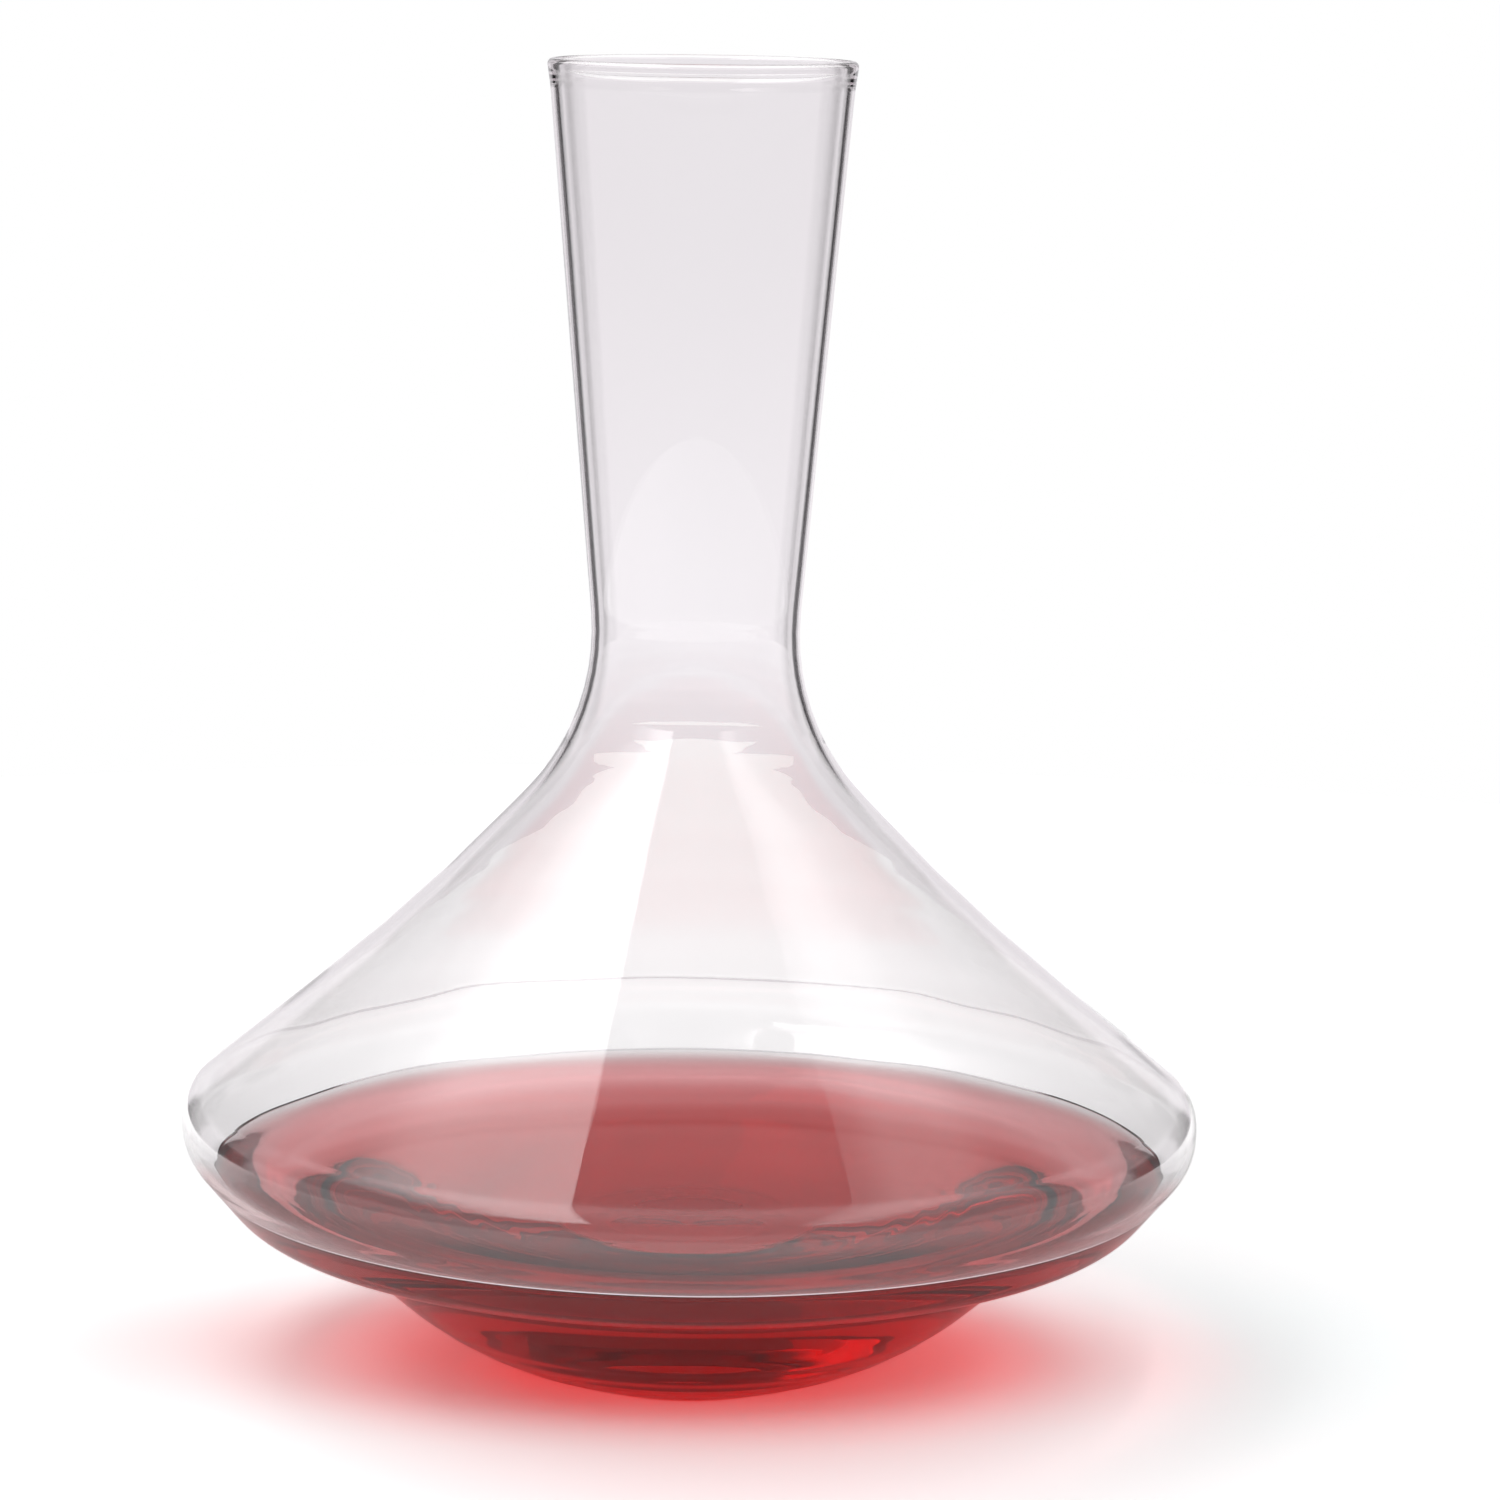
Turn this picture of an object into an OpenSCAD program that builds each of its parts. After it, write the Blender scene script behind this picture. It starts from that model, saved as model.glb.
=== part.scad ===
// Wine decanter: a one-piece vessel of clear blown glass, with a fill of red wine.
// The origin is the centre of the foot on the table plane, and +Z points up through the mouth.
// Every length is in millimetres, and the whole decanter is a body of revolution about Z.
//
// The outside of the glass is a line of corners, each rounded by its own radius. The inside
// follows it at the wall thickness given for each corner, measured square to the surface.

/* [Overall] */
// Height from the table to the top of the rim
height = 284; // [272:1:310]
// Widest diameter, round the middle of the belly
belly_d = 220; // [216:0.5:224]
// Outside diameter of the mouth
mouth_d = 65.4; // [56:0.2:76]

/* [Foot] */
// Diameter at which the flat foot turns up into the bowl
foot_d = 54; // [48:0.5:64]
// Rounding radius of the heel
heel_r = 8; // [4:0.5:12]
// Diameter of the hollow pushed up under the base
punt_d = 34; // [28:0.5:38]
// Height of that hollow at the centre
punt_h = 2; // [0.6:0.1:3]

/* [Lower bowl] */
// Diameter at which the low flare steepens
knee_d = 108; // [100:0.5:112]
// Height of the same place
knee_z = 9.4; // [8:0.1:10.5]
// Rounding radius there
knee_r = 80; // [30:1:90]
// Diameter of the soft waist under the belly
waist_d = 162.5; // [160:0.5:165]
// Height of the waist
waist_z = 34.8; // [33:0.1:35.1]
// Rounding radius of the waist
waist_r = 25; // [8:0.5:27]

/* [Belly] */
// Diameter of the corner under the belly
under_d = 193.2; // [192:0.1:195]
// Height of the corner under the belly
under_z = 35.8; // [35.4:0.1:37]
// Rounding radius under the belly
under_r = 13; // [6:0.5:14]
// Height of the lower side corner
belly_low_z = 51.9; // [48:0.1:53]
// Rounding radius of the lower side corner
belly_low_r = 11.4; // [5:0.1:14]
// Height of the upper side corner
belly_top_z = 61.7; // [60.5:0.1:63.2]
// Rounding radius of the upper side corner
belly_top_r = 9; // [4:0.5:11]

/* [Shoulder and neck] */
// Diameter half way up the hollow shoulder
shoulder_d = 120.3; // [119:0.1:126]
// Height of the same place
shoulder_z = 102; // [101:0.1:104]
// Radius of the long hollow curve of the shoulder
shoulder_r = 430; // [150:5:450]
// Diameter at which the lines of the shoulder and the neck would meet
neck_d = 41.2; // [39:0.1:44]
// Height at which they would meet
neck_z = 144.5; // [143:0.1:148]
// Rounding radius between the shoulder and the neck
neck_r = 51; // [15:1:54]

/* [Glass] */
// Thickness of the base, over the foot
base_wall = 3.2; // [2.4:0.1:4.5]
// Thickness of the lower bowl
bowl_wall = 2; // [1.4:0.1:3]
// Thickness of the belly, the shoulder and the neck
side_wall = 1.6; // [1.2:0.1:2.2]
// Thickness of the fire-polished bead round the mouth
bead_wall = 2.3; // [1.8:0.1:3]
// Height over which the wall swells into the bead
bead_h = 5; // [3:0.5:8]

/* [Wine] */
// Height of the wine's surface above the table
wine_level = 45; // [12:0.5:60]

/* [Hidden] */

// Facets of each full turn, which come out as true surfaces of revolution
$fn = 96;
// Largest turn of one straight step along a rounded corner, in degrees
arc_step = 5;
// Film between the wine and the glass that keeps the two solids apart
wine_film = 0.05;
// Rounding radius of the edge between the foot and the hollow under it
punt_r = 6;
// How far the bead stands out past the line of the neck
bead_proud = 0.25;

// The bead's own half thickness, which is the radius of the rounded lip
lip_r = bead_wall / 2;
// Where the rounded lip starts
lip_z = height - lip_r;
// Where the wall starts to swell, and the neck's radius there, on its straight line
swell_z = lip_z - bead_h;
mouth_r = mouth_d / 2 - bead_proud;
neck_slope = (mouth_r - neck_d / 2) / (lip_z - neck_z);
swell_r = mouth_r - neck_slope * bead_h;

// The outside's corners from the axis under the base to the mouth:
// [radius, height, rounding radius, wall thickness]
corners = [
    [0, punt_h, 0, base_wall],
    [punt_d / 2, 0, punt_r, base_wall],
    [foot_d / 2, 0, heel_r, base_wall],
    [knee_d / 2, knee_z, knee_r, bowl_wall],
    [waist_d / 2, waist_z, waist_r, bowl_wall],
    [under_d / 2, under_z, under_r, side_wall],
    [belly_d / 2, belly_low_z, belly_low_r, side_wall],
    [belly_d / 2, belly_top_z, belly_top_r, side_wall],
    [shoulder_d / 2, shoulder_z, shoulder_r, side_wall],
    [neck_d / 2, neck_z, neck_r, side_wall],
    [swell_r, swell_z, bead_h * 2, side_wall],
    [mouth_d / 2, lip_z, 0, bead_wall],
];
last = len(corners) - 1;

function spot(corner) = [corner[0], corner[1]];
function unit(v) = v / norm(v);
// A vector turned by an angle, and the one square to it on its left
function turned(v, a) = [v[0] * cos(a) - v[1] * sin(a), v[0] * sin(a) + v[1] * cos(a)];
function left_of(v) = [-v[1], v[0]];
// Turn from one direction to the next, positive to the left
function turn(u, v) = atan2(u[0] * v[1] - u[1] * v[0], u[0] * v[0] + u[1] * v[1]);

// The outline round corner i, as a list of [place, direction of travel]
function rounded(i) = let(
    here = spot(corners[i]),
    u = unit(here - spot(corners[i - 1])),
    v = unit(spot(corners[i + 1]) - here),
    a = turn(u, v),
    side = sign(a),
    radius = corners[i][2],
    start = here - u * radius * tan(abs(a) / 2),
    centre = start + left_of(u) * radius * side,
    steps = max(3, ceil(abs(a) / arc_step))
) [for (k = [0 : steps]) let(d = turned(u, a * k / steps)) [centre - left_of(d) * radius * side, d]];

// The outline at distance `depth` inside the outside face, scaled by each corner's wall:
// `share` of the wall, plus `extra` further in
function outline(share, extra) = [
    spot(corners[0]) + [0, corners[0][3] * share + extra],
    for (i = [1 : last - 1]) for (step = rounded(i))
        step[0] + left_of(step[1]) * (corners[i][3] * share + extra),
];

// The rounded lip, from the outside of the mouth over the top to the inside
lip_centre = [mouth_d / 2 - lip_r, lip_z];
lip = [for (a = [0 : 15 : 180]) lip_centre + lip_r * [cos(a), sin(a)]];

// The space inside the glass as an outline, closed along the axis
function cavity(extra) = concat(outline(1, extra), [lip_centre - [lip_r, 0], [0, lip_z]]);

function reversed(list) = [for (i = [len(list) - 1 : -1 : 0]) list[i]];

module decanter_glass() {
    color([0.90, 0.93, 0.94, 0.35])
        rotate_extrude()
            polygon(concat(outline(0, 0), lip, reversed(outline(1, 0))));
}

module red_wine() {
    color([0.45, 0.02, 0.06, 0.9])
        intersection() {
            rotate_extrude()
                polygon(cavity(wine_film));
            cylinder(h = wine_level, d = belly_d);
        }
}

decanter_glass();
red_wine();
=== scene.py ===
# Wine decanter of clear blown glass with a fill of red wine, on a white table in soft studio light; the table
# carries a painted shadow and painted red light under the wine.
import math

import bpy
import numpy as np
from mathutils import Matrix, Vector, noise


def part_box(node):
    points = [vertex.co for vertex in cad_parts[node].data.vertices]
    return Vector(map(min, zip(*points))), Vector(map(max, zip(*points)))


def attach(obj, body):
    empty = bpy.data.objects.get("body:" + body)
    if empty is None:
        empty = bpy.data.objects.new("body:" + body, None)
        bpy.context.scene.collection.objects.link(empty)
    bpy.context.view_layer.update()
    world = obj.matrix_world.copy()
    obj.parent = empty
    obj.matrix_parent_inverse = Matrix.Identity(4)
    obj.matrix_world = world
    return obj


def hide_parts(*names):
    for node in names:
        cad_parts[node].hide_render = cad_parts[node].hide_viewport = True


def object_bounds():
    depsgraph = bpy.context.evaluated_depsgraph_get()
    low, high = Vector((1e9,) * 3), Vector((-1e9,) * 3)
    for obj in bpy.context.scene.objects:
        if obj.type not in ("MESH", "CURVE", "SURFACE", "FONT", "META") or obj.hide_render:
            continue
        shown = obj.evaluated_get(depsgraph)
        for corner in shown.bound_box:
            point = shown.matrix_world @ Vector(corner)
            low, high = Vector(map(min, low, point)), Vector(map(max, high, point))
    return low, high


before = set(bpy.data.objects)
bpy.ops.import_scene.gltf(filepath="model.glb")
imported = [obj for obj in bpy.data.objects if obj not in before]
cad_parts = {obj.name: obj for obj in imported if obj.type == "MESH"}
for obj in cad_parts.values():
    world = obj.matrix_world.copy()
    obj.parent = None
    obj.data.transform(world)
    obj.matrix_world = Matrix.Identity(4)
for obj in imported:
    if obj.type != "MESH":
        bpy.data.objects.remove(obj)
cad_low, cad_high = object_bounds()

GLASS, WINE = "decanter_glass", "red_wine"

# ---------- shape, in metres ----------
MICRONS = 1e6                   # in a metre; the CAD outline's points are told apart to one of these
SEAM_TOLERANCE = 1e-7           # how near the plane y = 0 a CAD vertex counts as on it
WIDEST_GAP = 15000              # in microns, the most that the outline may jump between two of its edges
CLOSEST = 0.00005               # outline points nearer than this are taken as one
TURN_STEPS = 288                # faces round a full turn
PROFILE_STEP = 0.0014           # longest step along an outline
PROFILE_TURN = math.radians(6)  # largest turn of one step

WAVE_OUTSIDE, WAVE_INSIDE = 0.00012, 0.00016  # depth of the slow waves that blowing leaves in the glass
WAVE_SEED_OUTSIDE, WAVE_SEED_INSIDE = 3.1, 7.7
WAVE_ROUND, WAVE_UP = 19, 13    # waves per metre across and up the glass, for the slow ones
FINE_ROUND, FINE_UP = 46, 24    # and for the fine ones
FINE_SHARE, WAVE_BIAS = 0.35, 0.6  # depth of the fine ones against the slow ones, and what is taken off both
# The waves start at this height, and grow and die away over these lengths above it and under the lip
WAVE_START, WAVE_FOOT_FADE, WAVE_LIP_FADE = 0.006, 0.012, 0.02

WINE_OVERLAP = 0.00008          # how far the wine reaches into the glass, so that no air is left between them
MENISCUS_RISE = 0.0011          # how far the wine climbs the glass
MENISCUS_REACH = 0.0018         # how fast that dies away from the glass
CONTACT_GAP = 0.0002            # the wetted wall's last point is at least this far under the wine's edge
# Steps of the wine's surface from the glass inward: the first, how each grows on the one before, the
# longest, and how near the axis they go
SURFACE_STEP, SURFACE_GROWTH, SURFACE_LONGEST, SURFACE_END = 0.0003, 1.25, 0.006, 0.004

# ---------- glass and wine ----------
GLASS_INDEX, WINE_INDEX = 1.5, 1.345
GLASS_TINT, GLASS_DENSITY = (0.45, 0.31, 0.37), 34.0
WINE_TINT, WINE_DENSITY = (0.953, 0.02, 0.04), 120.0
RIPPLE_SCALE, RIPPLE_STRETCH, RIPPLE_DETAIL = 30, (1, 1, 0.35), 2
RIPPLE_STRENGTH, RIPPLE_DISTANCE = 0.04, 0.0004

# ---------- table ----------
TABLE_Z = -0.0003               # just under the foot, so that the two don't share a plane
TABLE_RADIUS, TABLE_SIDES = 0.75, 128
TABLE_COLOUR, TABLE_ROUGHNESS = (0.90, 0.895, 0.90), 0.9


def grey(level):
    return level, level, level


# Colours for the painted red light under the wine
def painted_red_light(red, rest):
    return red, rest, rest


# Painted shadow and painted red light: the table's own glow at a distance in metres from a place under the
# wine, dark and red near the wine where its shadow and the red light through it fall, and white further out.
# The distance is measured shorter from side to side and longer from front to back.
TABLE_PAINTED_SHADOW_AND_GLOW_CENTRE, TABLE_PAINTED_SHADOW_AND_GLOW_STRETCH = (-0.010, 0.012, 0.0), (1.6, 0.85, 1.0)
TABLE_PAINTED_SHADOW_AND_GLOW = [
    (0, painted_red_light(0.30, 0.02)), (0.03, painted_red_light(0.36, 0.03)), (0.045, painted_red_light(0.30, 0.06)),
    (0.055, painted_red_light(0.32, 0.14)), (0.065, painted_red_light(0.37, 0.27)), (0.075, painted_red_light(0.41, 0.39)),
    (0.087, painted_red_light(0.44, 0.48)), (0.1, painted_red_light(0.46, 0.50)), (0.125, painted_red_light(0.49, 0.50)),
    (0.2, painted_red_light(0.50, 0.49)), (0.5, grey(0.62)), (1.0, grey(0.9)),
]
# The same painted shadow and red light, for every ray but the camera's own, so as it shows in and through the
# glass
TABLE_PAINTED_SHADOW_AND_GLOW_IN_GLASS = [
    (0, painted_red_light(0.1, 0)), (0.05, painted_red_light(0.1, 0)), (0.115, painted_red_light(0.12, 0)), (0.16, grey(0.2)),
    (0.3, grey(0.52)), (0.5, grey(0.68)), (1.0, grey(0.64)),
]

# ---------- lights ----------
SOFTBOX_HEIGHT, SOFTBOX_LENGTH = 1.25, 2.6
# The share of a softbox's strength that is left along its width, from left to right, and along
# its length, from front to back
LEFT_FEATHER = [(0.0, 0.0), (0.35, 0.3), (0.75, 1.0), (1.0, 1.0)]
RIGHT_FEATHER = [(0.0, 0.35), (0.14, 0.85), (0.25, 0.8), (0.48, 0.2), (1.0, 0.0)]
BACK_FEATHER = [(0.0, 1.0), (0.55, 1.0), (0.72, 0.75), (0.85, 0.35), (1.0, 0.0)]

# ---------- room ----------
ROOM_TO_CAMERA, ROOM_TO_TABLE = (1, 1, 1, 1), (0.22, 0.22, 0.22, 1)
ROOM_GREEN = 0.985              # green of the room's grey, as a share of its red and blue
# Brightness at a height, from 0 straight down over 0.5 at the horizon to 1 straight up
WALL = [
    (0.0, 0.95), (0.425, 0.95), (0.47, 0.86), (0.595, 0.86), (0.615, 0.66), (0.63, 0.5), (0.648, 0.4),
    (0.88, 0.25), (1.0, 0.1),
]
# Share of the wall's brightness at an azimuth, from 0 along an axis to 1 on a diagonal: a dark
# strip in each eighth of a turn, which makes four of them on the far half, to draw the glass's edges
STRIPS = [(0.0, 1), (0.50, 1), (0.60, 0.06), (0.84, 0.06), (0.94, 0.8)]
# How much the strips count at a height, and how steeply they come in on the far half
STRIP_HEIGHTS = [(0.0, 0), (0.30, 0), (0.36, 1), (0.57, 1), (0.64, 0), (1.0, 0)]
STRIP_ONSET = 6

# ---------- camera ----------
CAMERA_BACK, CAMERA_UP = 1.0334, 0.3175
CAMERA_PITCH, CAMERA_ROLL = math.radians(9.91), 0.0133
CAMERA_LENS, CAMERA_SENSOR, CAMERA_SHIFT = 117.15, 36, 0.0372
CAMERA_NEAR, CAMERA_FAR = 0.01, 50


# ---------- outlines taken from the CAD solids ----------
def seam_of(mesh):
    """The places of a round mesh's vertices on the half plane y = 0, and which ones share an edge."""
    places, keys = {}, {}
    for v in mesh.vertices:
        x, y, z = v.co
        if abs(y) < SEAM_TOLERANCE and x > -SEAM_TOLERANCE:
            key = (round(x * MICRONS), round(z * MICRONS))
            keys[v.index] = key
            places[key] = (max(x, 0.0), z)
    links = {k: set() for k in places}
    for e in mesh.edges:
        a, b = (keys.get(i) for i in e.vertices)
        if a is not None and b is not None and a != b:
            links[a].add(b)
            links[b].add(a)
    return places, links


def outline(node):
    """The (radius, height) points of a round CAD node, in order, from the axis under it."""
    places, links = seam_of(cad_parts[node].data)
    here = min((k for k in places if k[0] == 0), key=lambda k: k[1])
    chain, seen = [here], {here}
    while True:
        near = [k for k in links[here] if k not in seen]
        if not near:
            ends = [k for k in places if k not in seen and len(links[k]) < 2]
            if not ends or here[0] == 0 and len(chain) > 1:
                break
            near = [min(ends, key=lambda k: math.dist(k, here))]
            if math.dist(near[0], here) > WIDEST_GAP:
                break
        here = min(near, key=lambda k: math.dist(k, here))
        seen.add(here)
        chain.append(here)
    return np.array([places[k] for k in chain])


def thinned(points):
    """The points without those too close to the one before."""
    kept = [points[0]]
    for p in points[1:]:
        if np.hypot(*(p - kept[-1])) >= CLOSEST:
            kept.append(p)
    kept[-1] = points[-1]
    return np.array(kept)


def smooth_curve(points):
    """A smooth curve through the points, in steps short enough to look round."""
    p = thinned(points)
    ahead = np.vstack([2 * p[0] - p[1], p, 2 * p[-1] - p[-2]])
    out = [p[0]]
    for i in range(len(p) - 1):
        a, b, c, d = ahead[i:i + 4]
        t1, t2, t3 = (math.dist(q, r) ** 0.5 for q, r in ((a, b), (b, c), (c, d)))
        m1 = (c - b) / t2 - (c - a) / (t1 + t2) + (b - a) / t1
        m2 = (c - b) / t2 - (d - b) / (t2 + t3) + (d - c) / t3
        m1, m2 = m1 * t2, m2 * t2
        turn = abs(math.atan2(m1[0] * m2[1] - m1[1] * m2[0], m1 @ m2))
        n = max(1, math.ceil(math.dist(b, c) / PROFILE_STEP), math.ceil(turn / PROFILE_TURN))
        for k in range(1, n + 1):
            t = k / n
            out.append((2 * t**3 - 3 * t**2 + 1) * b + (t**3 - 2 * t**2 + t) * m1
                       + (3 * t**2 - 2 * t**3) * c + (t**3 - t**2) * m2)
    return np.array(out)


def left_sides(profile):
    """The direction square to a profile at each of its points, on the left of its travel."""
    tangent = np.gradient(profile, axis=0)
    tangent /= np.linalg.norm(tangent, axis=1)[:, None]
    return np.stack([-tangent[:, 1], tangent[:, 0]], 1)


glass_profile = np.clip(smooth_curve(outline(GLASS)), (0, 0), (cad_high.x, cad_high.z))
lip_index = int(np.argmax(glass_profile[:, 1]))
wine_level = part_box(WINE)[1].z
contact = wine_level + MENISCUS_RISE


# ---------- lathe ----------
def lathe(name, profile, wetted, wave=None):
    """A closed solid of revolution from a profile that starts and ends on the axis.

    wetted(i) says whether glass and wine touch from the profile's point i to the next, and
    wave, if given, moves a point of ring i."""
    rings = profile[1:-1]
    n = TURN_STEPS
    verts = [(0, 0, profile[0][1])]
    for i, (r, z) in enumerate(rings):
        for k in range(n):
            a = 2 * math.pi * k / n
            spot = (r * math.cos(a), r * math.sin(a), z)
            verts.append(wave(i + 1, *spot) if wave else spot)
    verts.append((0, 0, profile[-1][1]))

    faces = [(0, 1 + (k + 1) % n, 1 + k) for k in range(n)]
    for i in range(len(rings) - 1):
        a, b = 1 + i * n, 1 + (i + 1) * n
        faces += [(a + k, a + (k + 1) % n, b + (k + 1) % n, b + k) for k in range(n)]
    top, a = len(verts) - 1, 1 + (len(rings) - 1) * n
    faces += [(a + k, a + (k + 1) % n, top) for k in range(n)]
    marks = [float(wetted(i)) for i in range(len(profile) - 1) for _ in range(n)]

    mesh = bpy.data.meshes.new(name)
    mesh.from_pydata(verts, [], faces)
    mesh.polygons.foreach_set("use_smooth", [True] * len(faces))
    mesh.attributes.new("wetted", "FLOAT", "FACE").data.foreach_set("value", marks)
    mesh.update()
    obj = bpy.data.objects.new(name, mesh)
    bpy.context.scene.collection.objects.link(obj)
    return obj


def glass_wave():
    """Slow waves in the blown glass, square to its surface; none at the foot or the lip."""
    sides = left_sides(glass_profile)
    top = glass_profile[lip_index][1]

    def wave(i, x, y, z):
        r = math.hypot(x, y)
        if i < lip_index:
            depth, seed = -WAVE_OUTSIDE, WAVE_SEED_OUTSIDE
        else:
            depth, seed = WAVE_INSIDE, WAVE_SEED_INSIDE
        fade = min(1, max(0, (z - WAVE_START) / WAVE_FOOT_FADE)) * min(1, max(0, (top - z) / WAVE_LIP_FADE))
        slow = noise.noise(Vector((x * WAVE_ROUND + seed, y * WAVE_ROUND, z * WAVE_UP + seed)))
        fine = noise.noise(Vector((x * FINE_ROUND, y * FINE_ROUND + seed, z * FINE_UP)))
        d = depth * 0.5 * (slow + FINE_SHARE * fine - WAVE_BIAS) * fade
        r2 = r + sides[i][0] * d
        return x * r2 / r, y * r2 / r, z + sides[i][1] * d
    return wave


def wine_profile():
    """The wine's outline: up the glass from the axis, then in over the surface. Also how many
    of its points lie on the glass."""
    inside = glass_profile[lip_index:][::-1]
    inward = left_sides(inside)
    wet = [p - q * WINE_OVERLAP for p, q in zip(inside, inward) if p[1] < contact - CONTACT_GAP]
    wet[0] = np.array([0.0, wet[0][1]])
    above = next(p for p in inside if p[1] >= contact - CONTACT_GAP)
    last = wet[-1]
    share = (contact - last[1]) / (above[1] - last[1])
    edge = last + (above - last) * share + np.array([WINE_OVERLAP, 0])
    surface = []
    r, step = edge[0], SURFACE_STEP
    while r - step > SURFACE_END:
        r -= step
        surface.append((r, wine_level + MENISCUS_RISE * math.exp(-(edge[0] - r) / MENISCUS_REACH)))
        step = min(step * SURFACE_GROWTH, SURFACE_LONGEST)
    surface.append((0.0, wine_level))
    return np.vstack([wet, [edge], surface]), len(wet)


# ---------- materials ----------
def nodes_of(name):
    material = bpy.data.materials.new(name)
    material.use_nodes = True
    tree = material.node_tree
    return material, tree, tree.nodes["Principled BSDF"], tree.nodes["Material Output"]


def maths(tree, operation, a, b=None, clamp=False):
    """One sum on two values, each a number or a socket."""
    node = tree.nodes.new("ShaderNodeMath")
    node.operation = operation
    node.use_clamp = clamp
    for socket, value in zip(node.inputs, (a, b)):
        if isinstance(value, (int, float)):
            socket.default_value = value
        elif value is not None:
            tree.links.new(value, socket)
    return node.outputs[0]


def ramp(tree, value, stops, interpolation="EASE"):
    """The colour of a value from (place, colour) stops."""
    node = tree.nodes.new("ShaderNodeValToRGB")
    node.color_ramp.interpolation = interpolation
    elements = node.color_ramp.elements
    while len(elements) < len(stops):
        elements.new(0.5)
    for element, (place, colour) in zip(elements, stops):
        element.position = place
        element.color = (*colour, 1)
    tree.links.new(value, node.inputs[0])
    return node.outputs["Color"]


def mixed(tree, factor, a, b, blend="MIX"):
    """Socket a, or b where the factor is 1; b may be a colour."""
    node = tree.nodes.new("ShaderNodeMix")
    node.data_type = "RGBA"
    node.blend_type = blend
    tree.links.new(factor, node.inputs["Factor"])
    tree.links.new(a, node.inputs["A"])
    if isinstance(b, tuple):
        node.inputs["B"].default_value = b
    else:
        tree.links.new(b, node.inputs["B"])
    return node.outputs["Result"]


def absorb(tree, output, colour, density):
    volume = tree.nodes.new("ShaderNodeVolumeAbsorption")
    volume.inputs["Color"].default_value = (*colour, 1)
    volume.inputs["Density"].default_value = density
    tree.links.new(volume.outputs["Volume"], output.inputs["Volume"])


def ripples(tree, shader):
    """Faint bumps from a stretched noise in the object's own space."""
    place = tree.nodes.new("ShaderNodeTexCoord")
    mapping = tree.nodes.new("ShaderNodeMapping")
    mapping.inputs["Scale"].default_value = RIPPLE_STRETCH
    texture = tree.nodes.new("ShaderNodeTexNoise")
    texture.inputs["Scale"].default_value = RIPPLE_SCALE
    texture.inputs["Detail"].default_value = RIPPLE_DETAIL
    bump = tree.nodes.new("ShaderNodeBump")
    bump.inputs["Strength"].default_value = RIPPLE_STRENGTH
    bump.inputs["Distance"].default_value = RIPPLE_DISTANCE
    tree.links.new(place.outputs["Object"], mapping.inputs["Vector"])
    tree.links.new(mapping.outputs["Vector"], texture.inputs["Vector"])
    tree.links.new(texture.outputs["Fac"], bump.inputs["Height"])
    tree.links.new(bump.outputs["Normal"], shader.inputs["Normal"])


def clear(name, index, wetted_index, tint, density):
    """A clear medium. Where it touches the other one, its index is taken against that one."""
    material, tree, shader, output = nodes_of(name)
    shader.inputs["Base Color"].default_value = (1, 1, 1, 1)
    shader.inputs["Transmission Weight"].default_value = 1
    shader.inputs["Roughness"].default_value = 0
    shader.inputs["IOR"].default_value = index
    wetted = tree.nodes.new("ShaderNodeAttribute")
    wetted.attribute_name = "wetted"
    ratio = tree.nodes.new("ShaderNodeMapRange")
    ratio.inputs["To Min"].default_value = index
    ratio.inputs["To Max"].default_value = wetted_index
    tree.links.new(wetted.outputs["Fac"], ratio.inputs["Value"])
    tree.links.new(ratio.outputs["Result"], shader.inputs["IOR"])
    absorb(tree, output, tint, density)
    return material, tree, shader


def glass_material():
    index = GLASS_INDEX / WINE_INDEX
    material, tree, shader = clear("clear_glass", GLASS_INDEX, index, GLASS_TINT, GLASS_DENSITY)
    ripples(tree, shader)
    return material


def wine_material():
    """The glass against it does all the bending of light, so the wine's own sides do none."""
    return clear("red_wine", WINE_INDEX, 1.0, WINE_TINT, WINE_DENSITY)[0]


def table_material():
    """Matt white with a glow of its own that paints a shadow and red light on it: weaker and redder near the
    wine.
    """
    material, tree, shader, _ = nodes_of("white_table_painted_shadow")
    shader.inputs["Base Color"].default_value = (*TABLE_COLOUR, 1)
    shader.inputs["Roughness"].default_value = TABLE_ROUGHNESS
    shader.inputs["Specular IOR Level"].default_value = 0
    shader.inputs["Emission Strength"].default_value = 1
    place = tree.nodes.new("ShaderNodeTexCoord").outputs["Object"]
    for operation, by in (("SUBTRACT", TABLE_PAINTED_SHADOW_AND_GLOW_CENTRE), ("DIVIDE", TABLE_PAINTED_SHADOW_AND_GLOW_STRETCH)):
        node = tree.nodes.new("ShaderNodeVectorMath")
        node.operation = operation
        node.inputs[1].default_value = by
        tree.links.new(place, node.inputs[0])
        place = node.outputs[0]
    length = tree.nodes.new("ShaderNodeVectorMath")
    length.operation = "LENGTH"
    tree.links.new(place, length.inputs[0])
    # Painted shadow and painted red light under the wine, as emission: one ramp for what the glass shows, one
    # for the camera
    in_glass = ramp(tree, length.outputs["Value"], TABLE_PAINTED_SHADOW_AND_GLOW_IN_GLASS, "LINEAR")
    direct = ramp(tree, length.outputs["Value"], TABLE_PAINTED_SHADOW_AND_GLOW, "LINEAR")
    seen = tree.nodes.new("ShaderNodeLightPath")
    glow = mixed(tree, seen.outputs["Is Camera Ray"], in_glass, direct)
    tree.links.new(glow, shader.inputs["Emission Color"])
    material.cycles.emission_sampling = "NONE"
    return material


# ---------- the two pieces ----------
def make_glass():
    def wetted(i):
        return i > lip_index and glass_profile[i:i + 2, 1].mean() < contact
    obj = lathe("blown_glass", glass_profile, wetted, glass_wave())
    obj.data.materials.append(glass_material())
    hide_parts(GLASS)
    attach(obj, "root")


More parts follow.
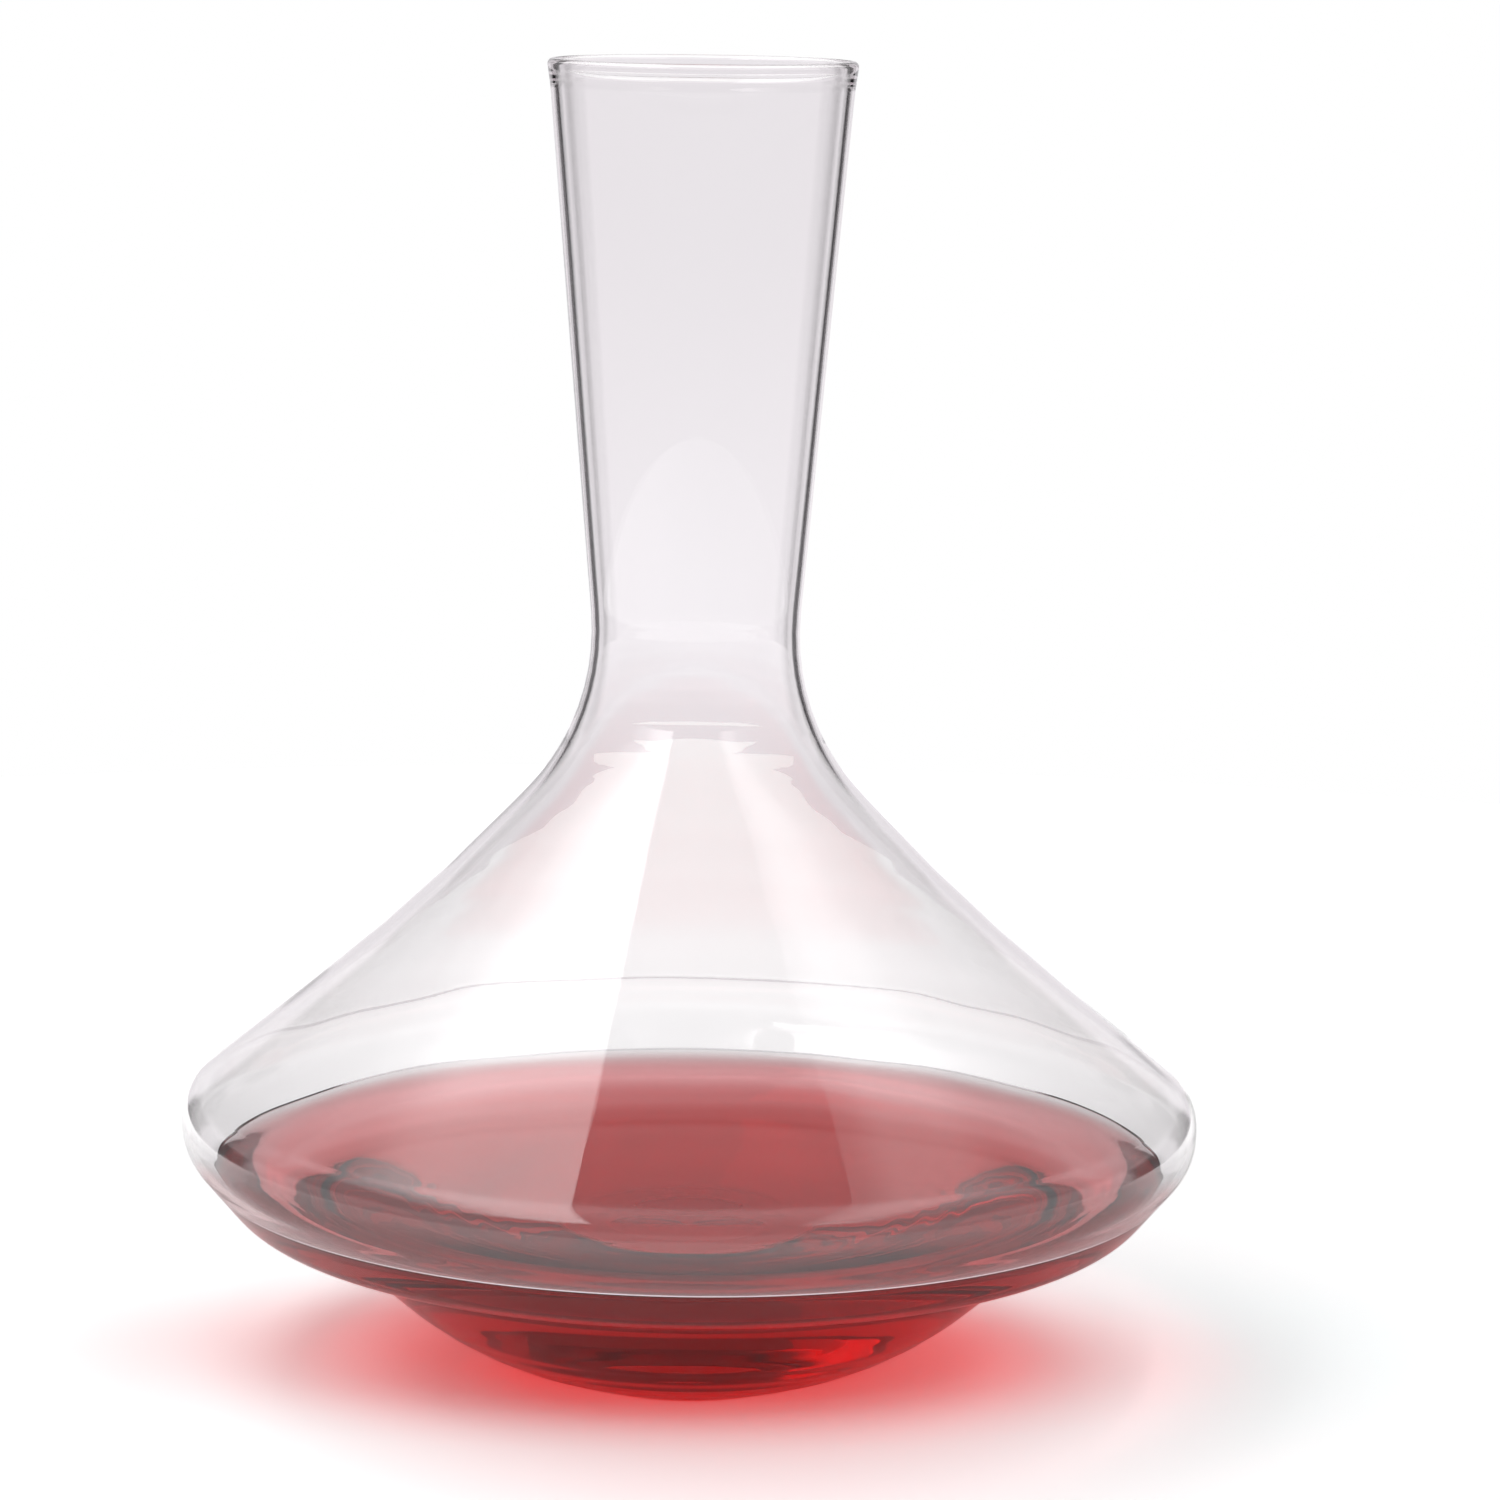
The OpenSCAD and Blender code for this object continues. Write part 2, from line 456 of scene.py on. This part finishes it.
def make_wine():
    profile, wet_count = wine_profile()
    obj = lathe("wine_fill", profile, lambda i: i < wet_count)
    obj.data.materials.append(wine_material())
    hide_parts(WINE)
    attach(obj, "root")


# ---------- stage ----------
def make_table():
    """A round white table top."""
    mesh = bpy.data.meshes.new("table")
    angles = [2 * math.pi * k / TABLE_SIDES for k in range(TABLE_SIDES)]
    ring = [(TABLE_RADIUS * math.cos(a), TABLE_RADIUS * math.sin(a), TABLE_Z) for a in angles]
    mesh.from_pydata(ring, [], [tuple(range(TABLE_SIDES))])
    mesh.materials.append(table_material())
    obj = bpy.data.objects.new("table", mesh)
    bpy.context.scene.collection.objects.link(obj)


def softbox(name, x, y, width, strength, turn, feather):
    """A flat light overhead, facing down. strength is how bright it looks, turn is in degrees,
    and feather is the share of the strength that is left along its width."""
    light = bpy.data.lights.new(name, "AREA")
    light.shape = "RECTANGLE"
    light.size, light.size_y = width, SOFTBOX_LENGTH
    light.energy = strength * width * SOFTBOX_LENGTH * math.pi
    light.use_nodes = True
    tree = light.node_tree
    split = tree.nodes.new("ShaderNodeSeparateXYZ")
    tree.links.new(tree.nodes.new("ShaderNodeNewGeometry").outputs["Parametric"], split.inputs[0])
    across = ramp(tree, split.outputs["X"], [(place, grey(share)) for place, share in feather])
    along = ramp(tree, split.outputs["Y"], [(place, grey(share)) for place, share in BACK_FEATHER])
    tree.links.new(maths(tree, "MULTIPLY", across, along), tree.nodes["Emission"].inputs["Color"])
    obj = bpy.data.objects.new(name, light)
    obj.location = (x, y, SOFTBOX_HEIGHT)
    obj.rotation_euler = (0, 0, math.radians(turn))
    obj.visible_camera = False
    bpy.context.scene.collection.objects.link(obj)


def room_colour(tree):
    """What the glass sees: a bright wall, dark strips on its far half, and a dim ceiling."""
    def tinted(stops):
        return [(place, (level, level * ROOM_GREEN, level)) for place, level in stops]

    split = tree.nodes.new("ShaderNodeSeparateXYZ")
    tree.links.new(tree.nodes.new("ShaderNodeTexCoord").outputs["Generated"], split.inputs[0])
    x, y, z = (split.outputs[i] for i in range(3))
    across, along = maths(tree, "ABSOLUTE", x), maths(tree, "ABSOLUTE", y)
    least, most = maths(tree, "MINIMUM", across, along), maths(tree, "MAXIMUM", across, along)
    azimuth = maths(tree, "DIVIDE", maths(tree, "ARCTAN2", least, most), math.pi / 4)
    height = maths(tree, "ADD", maths(tree, "MULTIPLY", z, 0.5), 0.5)
    behind = maths(tree, "MULTIPLY", y, STRIP_ONSET, clamp=True)
    count = maths(tree, "MULTIPLY", ramp(tree, height, tinted(STRIP_HEIGHTS)), behind)
    wall, strips = ramp(tree, height, tinted(WALL)), ramp(tree, azimuth, tinted(STRIPS))
    return mixed(tree, count, wall, strips, "MULTIPLY")


def make_room():
    """White to the camera, dim to the table, and a bright room to the glass."""
    world = bpy.data.worlds.new("studio")
    bpy.context.scene.world = world
    world.use_nodes = True
    tree = world.node_tree
    tree.nodes.clear()
    seen = tree.nodes.new("ShaderNodeLightPath")
    colour = mixed(tree, seen.outputs["Is Diffuse Ray"], room_colour(tree), ROOM_TO_TABLE)
    colour = mixed(tree, seen.outputs["Is Camera Ray"], colour, ROOM_TO_CAMERA)
    background = tree.nodes.new("ShaderNodeBackground")
    output = tree.nodes.new("ShaderNodeOutputWorld")
    tree.links.new(colour, background.inputs["Color"])
    tree.links.new(background.outputs[0], output.inputs["Surface"])


def make_camera():
    data = bpy.data.cameras.new("camera")
    data.lens, data.sensor_width = CAMERA_LENS, CAMERA_SENSOR
    data.shift_x = CAMERA_SHIFT
    data.clip_start, data.clip_end = CAMERA_NEAR, CAMERA_FAR
    obj = bpy.data.objects.new("camera", data)
    bpy.context.scene.collection.objects.link(obj)
    forward = Vector((0, math.cos(CAMERA_PITCH), -math.sin(CAMERA_PITCH)))
    right = Vector((1, 0, 0))
    up = right.cross(forward)
    c, s = math.cos(CAMERA_ROLL), math.sin(CAMERA_ROLL)
    right, up = right * c + up * s, up * c - right * s
    turn = Matrix((right, up, -forward)).transposed()
    obj.matrix_world = Matrix.Translation((0, -CAMERA_BACK, CAMERA_UP)) @ turn.to_4x4()
    bpy.context.scene.camera = obj


make_camera()
make_glass()
make_wine()
make_table()
make_room()
softbox("softbox_left", -1.172, -0.256, width=1.6, strength=2.85, turn=-14, feather=LEFT_FEATHER)
softbox("softbox_right", 1.208, -0.254, width=1.4, strength=1.5, turn=12, feather=RIGHT_FEATHER)

scene = bpy.context.scene
scene.view_settings.view_transform = "Standard"
scene.cycles.max_bounces = 28
scene.cycles.transmission_bounces = 28
scene.cycles.glossy_bounces = 12
scene.cycles.diffuse_bounces = 3
scene.cycles.caustics_reflective = True
scene.cycles.caustics_refractive = True
scene.cycles.blur_glossy = 0.0
